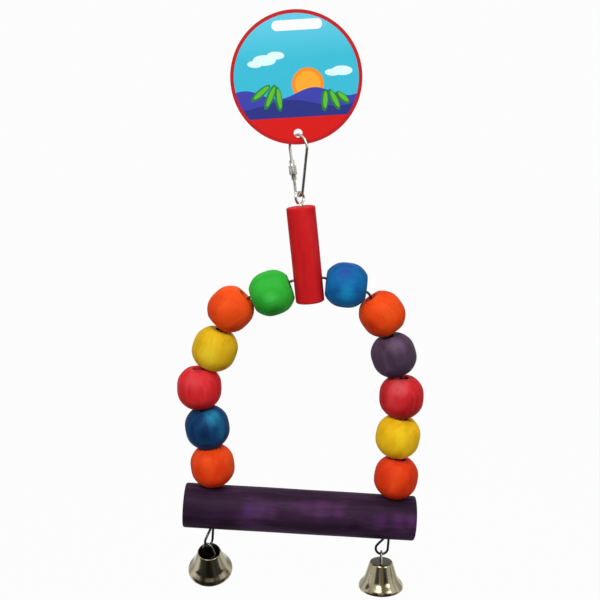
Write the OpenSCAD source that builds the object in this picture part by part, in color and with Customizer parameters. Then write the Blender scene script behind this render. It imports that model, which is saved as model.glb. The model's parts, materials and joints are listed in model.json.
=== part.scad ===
// Hanging bird swing: a wooden perch on a beaded wire arch, with two bells, a top dowel,
// a quick link and a round hang card. Millimetres, +X right, +Z up, seen from -Y.
// The origin is the middle of the card slot's upper edge, where a peg carries the toy.

/* [Card] */
// Diameter of the round card
card_d = 70; // [60:1:80]
// Thickness of the card
card_t = 0.6; // [0.4:0.1:1]
// Length of the hang slot, end to end
slot_len = 26.6; // [20:0.2:32]
// Height of the hang slot
slot_h = 5.4; // [4.8:0.1:7]
// Card left above the slot
slot_margin = 5.2; // [4:0.2:8]
// How far the slot lies right of the card's centre line
slot_shift = 1.9; // [0:0.1:3]
// Diameter of the hole for the link
card_hole_d = 4.6; // [4.5:0.1:5]
// Card left between the hole's centre and the lower edge
card_hole_margin = 6.1; // [5:0.1:7]
// Turn of the card in its own plane, in degrees
card_turn = 3.4; // [0:0.2:6]

/* [Quick link] */
// Length over the link
link_len = 34.2; // [32:0.1:40]
// Width over the wide upper bow
link_top_w = 14.6; // [13:0.2:16]
// Width over the narrow lower bend
link_bottom_w = 7; // [6.6:0.2:8]
// Thickness of the link's wire
link_wire = 1.6; // [1.4:0.1:1.8]
// Length of the sleeve nut
nut_len = 10.8; // [9:0.2:11.6]
// Width of the nut's hexagon across flats
nut_hex_w = 4.2; // [3.8:0.1:5]
// Length of the nut's hexagon
nut_hex_len = 4.9; // [3:0.1:6]
// Diameter of the nut's two collars
nut_collar_d = 2.9; // [2.6:0.1:3.4]
// Gap in the link's leg that the nut closes
gate_gap = 4.4; // [3:0.2:5]
// Turn of the link about its length, in degrees
link_turn = -45; // [-50:1:-35]
// Lean of the link to the right, in degrees
link_lean = 1; // [0:0.5:5]

/* [Screw eye] */
// Thickness of the eye's wire
eye_wire = 1.6; // [1.4:0.1:1.8]
// Width over the eye's ring
eye_w = 7.6; // [7:0.1:9]
// Height from the dowel to the top of the ring
eye_h = 8.6; // [8:0.1:10]
// Length of the shank inside the dowel
shank_len = 14; // [8:1:20]

/* [Top dowel] */
// Diameter of the top dowel
dowel_d = 15.9; // [14:0.1:18]
// Length of the top dowel
dowel_len = 53; // [45:0.5:60]
// Sanded round on the dowel's edges
dowel_edge_r = 1; // [0.5:0.1:2]
// Height of the cross hole above the dowel's lower end
cross_hole_up = 12.8; // [10:0.2:18]
// Diameter of the cross hole
cross_hole_d = 2.4; // [2:0.1:3]
// Lean of the dowel to the right, in degrees
dowel_lean = 5.8; // [0:0.2:8]

/* [Beads] */
// Diameter of a bead
bead_d = 25.2; // [24.4:0.1:28]
// Length of a bead between its flat ends
bead_len = 22.2; // [21:0.2:23]
// Diameter of the hole through a bead
bead_bore = 7.2; // [7:0.1:8]
// Gap between neighbouring beads
bead_gap = 0.35; // [0.35:0.05:0.5]
// Drop of the left chain's first bead below the dowel's cross hole
left_drop = 5.7; // [5:0.1:6]
// Drop of the right chain's first bead below the dowel's cross hole
right_drop = 5.4; // [4.8:0.1:6]

/* [Arch wire] */
// Thickness of the arch wire
wire_d = 1.4; // [1.2:0.1:1.6]
// Radius of the bends between the beads
wire_bend_r = 4; // [2:0.2:4.4]
// Radius of the loops that carry the bells
loop_r = 3.5; // [3.2:0.1:4.2]
// Distance between the two strands at the perch
strand_gap = 2.4; // [2:0.1:2.8]
// Length of the wire's end tucked into the perch
tuck_len = 8; // [3:0.5:10]

/* [Perch] */
// Diameter of the perch
perch_d = 25.4; // [22:0.2:28]
// Length of the perch
perch_len = 133; // [125:0.5:150]
// Sanded round on the perch's edges
perch_edge_r = 1.2; // [0.5:0.1:3]
// Diameter of the two wire holes
perch_hole_d = 4.8; // [4.6:0.1:6]
// How far the perch's middle lies right of its holes' middle
perch_shift = -1.6; // [-4:0.1:4]

/* [Bells] */
// Diameter over the bell's rim
bell_d = 26; // [24:0.2:30]
// Height of the bell
bell_h = 16; // [14:0.2:20]
// Thickness of the bell's metal
bell_wall = 0.7; // [0.5:0.05:1]
// Thickness of the hanger wire
hanger_wire = 1; // [0.8:0.05:1.1]
// Distance between the hanger's two legs
hanger_w = 8.8; // [8:0.1:9.2]
// Radius of the hanger's bow over the wire loop
bow_r = 2.4; // [2:0.1:2.8]
// Drop from the loop's wire to the bell's crown
crown_drop = 4.7; // [4.2:0.1:7]
// Thickness of the clapper's wire
clapper_wire = 0.8; // [0.7:0.05:1]
// Diameter of the clapper's ball
ball_d = 4.6; // [4:0.1:6]
// Distance from the clapper's pivot to its ball
clapper_len = 9.2; // [8:0.1:11]

/* [Hidden] */
$fn = 64;

// Sides are numbered: left is -1, right is 1
LEFT = -1;
RIGHT = 1;

// Loose fit round a wire that hangs in a ring or a hole
loose = 0.3;
// Gap under the link's wire, which passes askew through the card's hole
hole_gap = 0.6;
// Gap of a hanger's bow over the loop's wire, wide enough for a bell that hangs askew
bow_gap = 0.55;
// Fit of the sleeve nut on the link, and of the eye's shank in the dowel
snug = 0.06;
// Overrun of a cut past the face it opens
over = 1;
// Shares of a wire's thickness: its straight runs, how far they reach into a bend,
// and how far they stop short of the ball at a slight bend
straight_share = 0.98;
lap_share = 0.05;
short_share = 0.02;

// Ball that a bead's ends are turned to, as a share of its diameter
bead_ball_share = 1.032;

// Lean of each bead's hole from straight down, outward positive, from the dowel to the perch
left_bead_lean = [70, 45, 21.5, 0, -9.5, -7];
right_bead_lean = [83.5, 35.5, 19, -1.5, -11.5, -9.5];
// Direction from each bead's centre to the next
left_step_lean = [68.3, 22, 22, -9.9, -6.5];
right_step_lean = [51, 16.2, 11.3, -3.7, -1.4];

// Turn of each wire loop about the perch's upright, in degrees
left_loop_turn = 237;
right_loop_turn = 180;
// Lean of each bell back from the viewer, in degrees
left_bell_lean = 25;
right_bell_lean = 0;

// Angle at which the loop's end runs back to the perch
loop_return = 40;
// Radius of the bend at the loop's end, and its place below the perch
tuck_bend_r = 1.5;
tuck_drop = 0.3;
// Straight wire between the dowel and the first bend
wire_lead = 0.6;
// Height above the perch at which the wire turns into its hole
leg_rise = 0.4;
// Radius of the bend under the eye's ring
eye_bend_r = 1;
// Gap left between the eye's end and its shank
eye_end_gap = 2.2;
// Length of the sleeve nut over the lower stub of the gate
nut_cover = 1.3;
// Height of the nut's foot above the centre of the link's lower bend
nut_foot_up = 6.1;
// Radius of the hanger's small bends, its turned-out foot and the clearance over the crown
hanger_bend_r = 0.9;
hanger_foot = 1;
hanger_rise = 0.3;

// Outline of a bell from the crown to the rim: shares of the rim's radius and of the height
bell_outline_shares = [[0, 0], [0.45, 0], [0.495, 0.012], [0.525, 0.05], [0.565, 0.15], [0.62, 0.3],
                       [0.67, 0.44], [0.715, 0.55], [0.76, 0.64], [0.815, 0.715], [0.88, 0.78],
                       [0.94, 0.84], [0.98, 0.9], [1, 0.955], [0.985, 1]];

bead_r = bead_d / 2;
bead_ball_r = bead_r * bead_ball_share;
bead_flat_r = sqrt(pow(bead_ball_r, 2) - pow(bead_len / 2, 2));
flat_edge_deg = asin(bead_flat_r / bead_ball_r);

// Places in the plane of the swing are [x, z]
function turned(v, a) = [v[0] * cos(a) - v[1] * sin(a), v[0] * sin(a) + v[1] * cos(a)];
function heading(side, a) = [side * sin(a), -cos(a)];
function upright(v) = [v[0], 0, v[1]];
function middle(a, b) = (a + b) / 2;

// Card: places are measured from the slot's upper edge, then turned with the card
card_centre = turned([-slot_shift, slot_margin - card_d / 2], card_turn);
card_hole = card_centre + [0, card_hole_margin - card_d / 2] + turned([slot_shift / 2, 0], -card_turn);

// Link: the wire's centre line hangs from the card's hole
link_top_r = (link_top_w - link_wire) / 2;
link_bottom_r = (link_bottom_w - link_wire) / 2;
link_span = link_len - link_wire - link_top_r - link_bottom_r;
leg_slope = asin((link_top_r - link_bottom_r) / link_span);
leg_len = link_span * cos(leg_slope);
link_top = card_hole - [0, (card_hole_d - link_wire) / 2 - hole_gap];
link_foot = link_top + turned([0, link_wire - link_len], link_lean);
nut_travel = leg_len - nut_foot_up - nut_len;

// Eye: its ring's top rests on the link's lower bend, and the dowel hangs from its foot
eye_top = link_foot + [0, (link_wire + eye_wire) / 2 + loose];
eye_r = (eye_w - eye_wire) / 2;
eye_foot_drop = eye_h - (eye_wire + eye_bend_r) / 2 - eye_r;
eye_side_deg = asin(eye_r / eye_foot_drop);
function on_dowel(v) = eye_top + turned(v, dowel_lean);
dowel_top_z = eye_wire / 2 - eye_h;
cross_hole_z = dowel_top_z - dowel_len + cross_hole_up;

// Beads: how far a bead reaches from its centre at an angle from its hole
function reach(a) = abs(a) < flat_edge_deg
    ? bead_len / 2 * cos(a) + bead_flat_r * sin(abs(a))
    : bead_ball_r;
function bead_lean(side, i) = side == LEFT ? left_bead_lean[i] : right_bead_lean[i];
function step_lean(side, i) = side == LEFT ? left_step_lean[i] : right_step_lean[i];
function step_len(side, i) = reach(bead_lean(side, i) - step_lean(side, i))
    + reach(bead_lean(side, i + 1) - step_lean(side, i)) + bead_gap;
function first_drop(side) = side == LEFT ? left_drop : right_drop;
function first_bead(side) = on_dowel([side * (dowel_d / 2 + bead_gap
    + reach(90 + side * dowel_lean - bead_lean(side, 0))), cross_hole_z - first_drop(side)]);
function bead_at(side, i) = i == 0 ? first_bead(side)
    : bead_at(side, i - 1) + heading(side, step_lean(side, i - 1)) * step_len(side, i - 1);
function bead_end(side, i, way) = bead_at(side, i) + heading(side, bead_lean(side, i)) * way * bead_len / 2;
last = len(left_bead_lean) - 1;

// Perch: it lies square under the two last beads
leg_line = bead_at(RIGHT, last) - bead_at(LEFT, last);
leg_line_deg = atan2(leg_line[1], leg_line[0]);
function bead_seat(side, tilt) = perch_d / 2 + bead_gap + reach(bead_lean(side, last) - side * tilt);
perch_tilt = leg_line_deg
    - asin((bead_seat(RIGHT, leg_line_deg) - bead_seat(LEFT, leg_line_deg)) / norm(leg_line));
along = turned([1, 0], perch_tilt);
up = turned([0, 1], perch_tilt);
function under_bead(side) = bead_at(side, last) - up * bead_seat(side, perch_tilt);
function leg_foot(side) = under_bead(side) + along * (along * (bead_end(side, last, 1) - under_bead(side)));
perch_centre = middle(leg_foot(LEFT), leg_foot(RIGHT)) + along * perch_shift;

// Arch wire: corners between the beads, then down through the perch
function wire_corner(side, i) = i == 0
    ? on_dowel([side * (dowel_d / 2 + wire_lead), cross_hole_z])
    : middle(bead_end(side, i - 1, 1), bead_end(side, i, -1));
function leg_corners(side) = concat([for (i = [0:last]) wire_corner(side, i)],
    [leg_foot(side) + up * (perch_d / 2 + leg_rise),
     leg_foot(side) - up * (perch_d / 2 + loop_neck + wire_d * lap_share)]);
function backwards(list) = [for (i = [len(list) - 1:-1:0]) list[i]];

// Wire loop under the perch, in its own plane: out of the hole, round and back into it
loop_run = (loop_r * (1 + cos(loop_return)) - strand_gap) / sin(loop_return);
loop_neck = loop_r * sin(loop_return) + loop_run * cos(loop_return) + tuck_drop;
function loop_turn(side) = side == LEFT ? left_loop_turn : right_loop_turn;
function bell_lean(side) = side == LEFT ? left_bell_lean : right_bell_lean;
function below_perch(side, u, w) = upright(leg_foot(side) + along * u * cos(loop_turn(side))
    + up * (w - perch_d / 2)) + [0, u * sin(loop_turn(side)), 0];
function bell_pivot(side) = below_perch(side, loop_r, -loop_neck - loop_r);

// Bell hanger: legs run from a bow over the loop's wire to two holes in the crown
bow_drop = bow_r - (wire_d + hanger_wire) / 2 - bow_gap;
leg_top_drop = crown_drop - hanger_rise;
shoulder = [hanger_w / 2, leg_top_drop - bow_drop];
hanger_slope = atan2(shoulder[0], shoulder[1]) - asin(bow_r / norm(shoulder));
clapper_eye_r = (hanger_wire + clapper_wire) / 2 + loose;
bar_drop = crown_drop + bell_wall + clapper_eye_r + clapper_wire / 2 + loose;
foot_drop = crown_drop + bell_wall + hanger_bend_r;

// Steps of a wire through corners [u, w], each bent at the same radius
function run_deg(points, i) = atan2(points[i + 1][1] - points[i][1], points[i + 1][0] - points[i][0]);
function turn_deg(points, i) = i == 0 || i == len(points) - 1
    ? 0
    : run_deg(points, i) - run_deg(points, i - 1);
function bend_len(points, i, radius) = radius * tan(abs(turn_deg(points, i)) / 2);
function laid_steps(points, radius) = [for (i = [0:len(points) - 2])
    [norm(points[i + 1] - points[i]) - bend_len(points, i, radius) - bend_len(points, i + 1, radius),
     turn_deg(points, i + 1), radius]];

// Round wire laid in steps [straight run, turn in degrees, radius of the turn], from the origin along +X.
// Straight runs are a touch thinner than the bends and reach into them, so that the solid closes.
// A bend too slight for that is a ball that both runs end in.
function arc_len(step) = abs(step[1]) * PI / 180 * step[2];
function is_slight(step, d) = arc_len(step) < 2 * d * lap_share;
function lap(step, d) = step[1] == 0 ? 0 : is_slight(step, d) ? -d * short_share : d * lap_share;
module laid_wire(steps, d, i = 0) {
    run = steps[i][0];
    turn = steps[i][1];
    centre = [0, sign(turn) * steps[i][2], 0];
    start = i == 0 ? 0 : lap(steps[i - 1], d);
    translate([-start, 0, 0])
        rotate([0, 90, 0])
            cylinder(h = start + run + lap(steps[i], d), d = d * straight_share);
    translate([run, 0, 0]) {
        if (turn != 0 && !is_slight(steps[i], d))
            laid_bend(turn, steps[i][2], d);
        if (turn != 0 && is_slight(steps[i], d))
            translate([arc_len(steps[i]) / 2, 0, 0])
                sphere(d = d);
        if (i + 1 < len(steps))
            translate(centre)
                rotate([0, 0, turn])
                    translate(-centre)
                        laid_wire(steps, d, i + 1);
    }
}
module laid_bend(turn, radius, d) {
    translate([0, sign(turn) * radius, 0])
        rotate([0, 0, turn > 0 ? -90 : 90 + turn])
            rotate_extrude(angle = abs(turn))
                translate([radius, 0])
                    circle(d = d);
}

// Stands a wire that is laid in the XY plane upright, from a start [u, w] and a heading in degrees
module stood_up(start, heading_deg) {
    rotate([90, 0, 0])
        translate(start)
            rotate([0, 0, heading_deg])
                children();
}

// A turned rod from the origin down, with sanded edges
module sanded_rod(d, length, edge_r) {
    rotate_extrude()
        translate([0, -length])
            union() {
                square([d / 2 - edge_r, length]);
                translate([0, edge_r])
                    square([d / 2, length - 2 * edge_r]);
                for (z = [edge_r, length - edge_r])
                    translate([d / 2 - edge_r, z])
                        circle(r = edge_r);
            }
}

// Frames that the pieces hang in
module on_card() {
    rotate([0, -card_turn, 0])
        children();
}
module in_link() {
    translate(upright(link_top))
        rotate([0, -link_lean, 0])
            rotate([0, 0, link_turn])
                children();
}
module in_dowel() {
    translate(upright(eye_top))
        rotate([0, -dowel_lean, 0])
            children();
}
module at_bead(side, i) {
    translate(upright(bead_at(side, i)))
        rotate([0, -side * bead_lean(side, i), 0])
            children();
}
module in_perch() {
    translate(upright(perch_centre))
        rotate([0, -perch_tilt, 0])
            children();
}
module under_perch(side) {
    translate(upright(leg_foot(side) - up * perch_d / 2))
        rotate([0, -perch_tilt, 0])
            rotate([0, 0, loop_turn(side)])
                children();
}
module in_bell(side) {
    translate(bell_pivot(side))
        rotate([bell_lean(side), 0, 0])
            rotate([0, 0, loop_turn(side)])
                children();
}

// Places a rod along the link's left leg: its foot is at the given height above the lower bend
module on_left_leg(height) {
    translate([0, 0, link_bottom_r + link_wire - link_len])
        rotate([0, -leg_slope, 0])
            translate([-link_bottom_r, 0, height])
                children();
}

module hang_card() {
    color("deepskyblue")
        difference() {
            translate(upright(card_centre))
                rotate([90, 0, 0])
                    cylinder(h = card_t, d = card_d, center = true, $fn = 128);
            on_card()
                translate([0, 0, -slot_h / 2])
                    rotate([90, 0, 0]) {
                        cube([slot_len - slot_h, slot_h, card_t + 2 * over], center = true);
                        for (side = [LEFT, RIGHT])
                            translate([side * (slot_len - slot_h) / 2, 0, 0])
                                cylinder(h = card_t + 2 * over, d = slot_h, center = true);
                    }
            translate(upright(card_hole))
                rotate([90, 0, 0])
                    cylinder(h = card_t + 2 * over, d = card_hole_d, center = true);
        }
}

module quick_link() {
    gate_foot = nut_foot_up + nut_cover;
    lower = [0, link_bottom_r + link_wire - link_len];
    gate_top = lower + turned([-link_bottom_r, gate_foot + gate_gap], leg_slope);
    color("silver")
        in_link()
            stood_up(gate_top, 90 + leg_slope)
                laid_wire([[leg_len - gate_foot - gate_gap, -180 - 2 * leg_slope, link_top_r],
                           [leg_len, -180 + 2 * leg_slope, link_bottom_r],
                           [gate_foot, 0, 0]], link_wire);
}

module sleeve_nut() {
    color("gainsboro")
        in_link()
            on_left_leg(nut_foot_up)
                difference() {
                    union() {
                        cylinder(h = nut_len, d = nut_collar_d);
                        translate([0, 0, (nut_len - nut_hex_len) / 2])
                            cylinder(h = nut_hex_len, d = nut_hex_w / cos(30), $fn = 6);
                    }
                    translate([0, 0, -over])
                        cylinder(h = nut_len + 2 * over, d = link_wire + 2 * snug);
                }
}

module screw_eye() {
    foot_bend = eye_bend_r * tan(eye_side_deg / 2);
    side_len = eye_foot_drop * cos(eye_side_deg);
    color("silver")
        in_dowel()
            rotate([0, 0, link_turn + 90])
                stood_up([0, dowel_top_z - shank_len], 90)
                    laid_wire([[shank_len + eye_bend_r / 2 - foot_bend, -eye_side_deg, eye_bend_r],
                               [side_len - foot_bend, 180 + 2 * eye_side_deg, eye_r],
                               [side_len - eye_end_gap, 0, 0]], eye_wire);
}

module top_dowel() {
    color("firebrick")
        in_dowel()
            difference() {
                translate([0, 0, dowel_top_z])
                    sanded_rod(dowel_d, dowel_len, dowel_edge_r);
                translate([0, 0, dowel_top_z - shank_len - snug])
                    cylinder(h = shank_len + over, d = eye_wire + 2 * snug);
                translate([0, 0, cross_hole_z])
                    rotate([0, 90, 0])
                        cylinder(h = dowel_d + 2 * over, d = cross_hole_d, center = true);
            }
}

module wire_loop(side) {
    tuck_bend = tuck_bend_r * tan(loop_return / 2);
    lap = wire_d * lap_share;
    under_perch(side)
        stood_up([0, -loop_neck], -90) {
            laid_bend(180 + loop_return, loop_r, wire_d);
            translate([0, loop_r, 0])
                rotate([0, 0, 180 + loop_return])
                    translate([0, -loop_r, 0])
                        rotate([180, 0, 0])
                            translate([-lap, 0, 0])
                                laid_wire([[loop_run + lap - tuck_bend, loop_return, tuck_bend_r],
                                           [tuck_len + tuck_drop - tuck_bend, 0, 0]], wire_d);
        }
}

module arch_wire() {
    corners = concat(backwards(leg_corners(LEFT)), leg_corners(RIGHT));
    color("dimgray") {
        stood_up(corners[0], run_deg(corners, 0))
            laid_wire(laid_steps(corners, wire_bend_r), wire_d);
        wire_loop(LEFT);
        wire_loop(RIGHT);
    }
}

module perch() {
    color("indigo")
        difference() {
            in_perch()
                rotate([0, 90, 0])
                    translate([0, 0, perch_len / 2])
                        sanded_rod(perch_d, perch_len, perch_edge_r);
            for (side = [LEFT, RIGHT])
                under_perch(side)
                    translate([strand_gap / 2, 0, -over])
                        cylinder(h = perch_d + 2 * over, d = perch_hole_d);
        }
}

module bead(side, i, tint) {
    color(tint)
        at_bead(side, i)
            difference() {
                intersection() {
                    sphere(r = bead_ball_r);
                    cylinder(h = bead_len, r = bead_r, center = true);
                }
                cylinder(h = bead_len + 2 * over, d = bead_bore, center = true);
            }
}

module bead_left_1() { bead(LEFT, 0, "limegreen"); }
module bead_left_2() { bead(LEFT, 1, "orangered"); }
module bead_left_3() { bead(LEFT, 2, "gold"); }
module bead_left_4() { bead(LEFT, 3, "crimson"); }
module bead_left_5() { bead(LEFT, 4, "royalblue"); }
module bead_left_6() { bead(LEFT, 5, "orangered"); }
module bead_right_1() { bead(RIGHT, 0, "royalblue"); }
module bead_right_2() { bead(RIGHT, 1, "orangered"); }
module bead_right_3() { bead(RIGHT, 2, "rebeccapurple"); }
module bead_right_4() { bead(RIGHT, 3, "crimson"); }
module bead_right_5() { bead(RIGHT, 4, "gold"); }
module bead_right_6() { bead(RIGHT, 5, "orangered"); }

// The outline's inner side lies the metal's thickness in from each point of the outer side
bell_outer = [for (s = bell_outline_shares) [s[0] * bell_d / 2, -s[1] * bell_h]];
function inner_point(i) =
    let (a = bell_outer[max(i - 1, 0)], b = bell_outer[min(i + 1, len(bell_outer) - 1)])
    bell_outer[i] + bell_wall / norm(b - a) * [(b - a)[1], -(b - a)[0]];
bell_inner = [for (i = [len(bell_outer) - 1:-1:1]) inner_point(i)];

module bell_shell(side) {
    color("lightgray")
        in_bell(side)
            translate([0, 0, -crown_drop])
                difference() {
                    rotate_extrude($fn = 96)
                        polygon(concat(bell_outer, bell_inner, [[0, -bell_wall]]));
                    for (end = [-1, 1])
                        translate([0, end * hanger_w / 2, -bell_wall - over])
                            cylinder(h = bell_wall + 2 * over, d = hanger_wire + 2 * loose);
                }
}

module bell_hanger(side) {
    leg = hanger_w / 2;
    bar_end = leg - hanger_wire - loose;
    bend = hanger_bend_r * tan(hanger_slope / 2);
    side_len = sqrt(pow(norm(shoulder), 2) - pow(bow_r, 2));
    color("darkgray")
        in_bell(side)
            rotate([0, 0, 90])
                stood_up([bar_end, -bar_drop], 180)
                    laid_wire([[bar_end + leg - hanger_bend_r, -90, hanger_bend_r],
                               [bar_drop - leg_top_drop - hanger_bend_r - bend, -hanger_slope, hanger_bend_r],
                               [side_len - bend, 2 * hanger_slope - 180, bow_r],
                               [side_len - bend, -hanger_slope, hanger_bend_r],
                               [foot_drop - leg_top_drop - hanger_bend_r - bend, 90, hanger_bend_r],
                               [hanger_foot - hanger_bend_r, 0, 0]], hanger_wire);
}

// The clapper hangs plumb from the hanger's bar, whatever the bell's lean
module clapper(side) {
    plumb = atan(tan(bell_lean(side)) * sin(loop_turn(side)));
    color("gray")
        in_bell(side)
            translate([0, 0, -bar_drop])
                rotate([0, plumb, 0]) {
                    rotate([90, 0, 0])
                        rotate_extrude()
                            translate([clapper_eye_r, 0])
                                circle(d = clapper_wire);
                    translate([0, 0, -clapper_len])
                        cylinder(h = clapper_len - clapper_eye_r, d = clapper_wire);
                    translate([0, 0, -clapper_len])
                        sphere(d = ball_d);
                }
}

module left_bell() { bell_shell(LEFT); }
module left_bell_hanger() { bell_hanger(LEFT); }
module left_clapper() { clapper(LEFT); }
module right_bell() { bell_shell(RIGHT); }
module right_bell_hanger() { bell_hanger(RIGHT); }
module right_clapper() { clapper(RIGHT); }

hang_card();
quick_link();
sleeve_nut();
screw_eye();
top_dowel();
arch_wire();
perch();
bead_left_1();
bead_left_2();
bead_left_3();
bead_left_4();
bead_left_5();
bead_left_6();
bead_right_1();
bead_right_2();
bead_right_3();
bead_right_4();
bead_right_5();
bead_right_6();
left_bell();
left_bell_hanger();
left_clapper();
right_bell();
right_bell_hanger();
right_clapper();
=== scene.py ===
import json
from math import pi, radians

import bpy
import numpy as np
from mathutils import Matrix, Vector


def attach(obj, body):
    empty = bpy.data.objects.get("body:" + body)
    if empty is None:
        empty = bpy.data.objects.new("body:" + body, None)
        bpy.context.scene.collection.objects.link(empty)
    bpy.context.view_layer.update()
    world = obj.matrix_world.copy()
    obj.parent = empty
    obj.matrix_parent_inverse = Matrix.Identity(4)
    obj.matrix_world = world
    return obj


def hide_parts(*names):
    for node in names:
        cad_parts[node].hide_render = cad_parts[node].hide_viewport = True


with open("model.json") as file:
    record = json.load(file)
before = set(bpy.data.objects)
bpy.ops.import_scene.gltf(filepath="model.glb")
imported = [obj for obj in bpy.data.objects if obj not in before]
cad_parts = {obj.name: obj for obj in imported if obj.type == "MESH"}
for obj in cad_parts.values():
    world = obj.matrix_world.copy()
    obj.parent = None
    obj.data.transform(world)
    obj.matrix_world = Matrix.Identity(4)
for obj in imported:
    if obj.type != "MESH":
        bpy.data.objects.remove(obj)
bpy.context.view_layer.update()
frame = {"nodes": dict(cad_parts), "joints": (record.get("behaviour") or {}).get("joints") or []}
joints = {joint["name"]: joint for joint in frame["joints"]}
MM = 0.001

# The card: a round coated board, printed on its front and hung by its slot.
# Its face is laminated gloss, its back plain white board, and the cut edge shows the pulp.
# The picture is a plain one of hills, a sun and leaves, printed in flat inks.


def linear(colour):
    """sRGB hex to linear light: the low end is divided by 12.92, the rest follows a power of 2.4."""
    srgb = np.array([int(colour[k:k + 2], 16) / 255 for k in (1, 3, 5)])
    light = np.where(srgb < 0.04045, srgb / 12.92, ((srgb + 0.055) / 1.055) ** 2.4)
    return (*light, 1.0)


def add(tree, kind, settings=(), **inputs):
    """Adds one node with its settings. Inputs are values or links, by socket name or number."""
    made = tree.nodes.new(kind)
    for key, value in dict(settings).items():
        setattr(made, key, value)
    for key, value in inputs.items():
        socket = made.inputs[int(key[1:])] if key[0] == "_" else made.inputs[key.replace("_", " ")]
        if isinstance(value, bpy.types.NodeSocket):
            tree.links.new(value, socket)
        else:
            socket.default_value = value
    return made.outputs[0]


def mixed(tree, under, over, amount):
    """Adds a colour mix: under where the amount is 0 and over where it is 1. Each is a value or a link."""
    blend = tree.nodes.new("ShaderNodeMix")
    blend.data_type = "RGBA"
    for socket, value in ((blend.inputs[0], amount), (blend.inputs[6], under), (blend.inputs[7], over)):
        if isinstance(value, bpy.types.NodeSocket):
            tree.links.new(value, socket)
        else:
            socket.default_value = value
    return blend.outputs[2]


def finish_named(name):
    """An empty material and its shader: returns the material, its tree and the shader's inputs."""
    finish = bpy.data.materials.new(name)
    finish.use_nodes = True
    return finish, finish.node_tree, finish.node_tree.nodes["Principled BSDF"].inputs


# Places from the slot's upper edge, where a peg carries the toy, and sizes, in mm. A hill is its rate to
# the mm, its shift, its rise, its depth below the card's middle and its ink. A leaf is its place, its length
# and its turn.
CARD = {"centre": (-0.129, -29.86), "face": -0.27, "border_r": 33.1, "panel_level": 20.6, "slant": 0.058}
CLOUDS = ((-17, -21, 12), (-11, -18.5, 9), (-22, -23, 8), (19, -27, 8), (24, -26, 11))
SUN = ((6, -33, 17, "#F08A1E"), (6, -33, 13.5, "#F7A62B"))
HILLS = ((0.17, 0.0, 2.6, 8, "#3A3FA6"), (0.12, 2.0, 2.2, 13.5, "#27307F"))
LEAVES = ((-19, -38, 13, 40), (-14, -40, 14, 68), (-9.5, -41, 13, 98), (20, -41, 12, 118),
          (15, -41.5, 11, 88), (24.5, -40, 9, 140))


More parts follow.
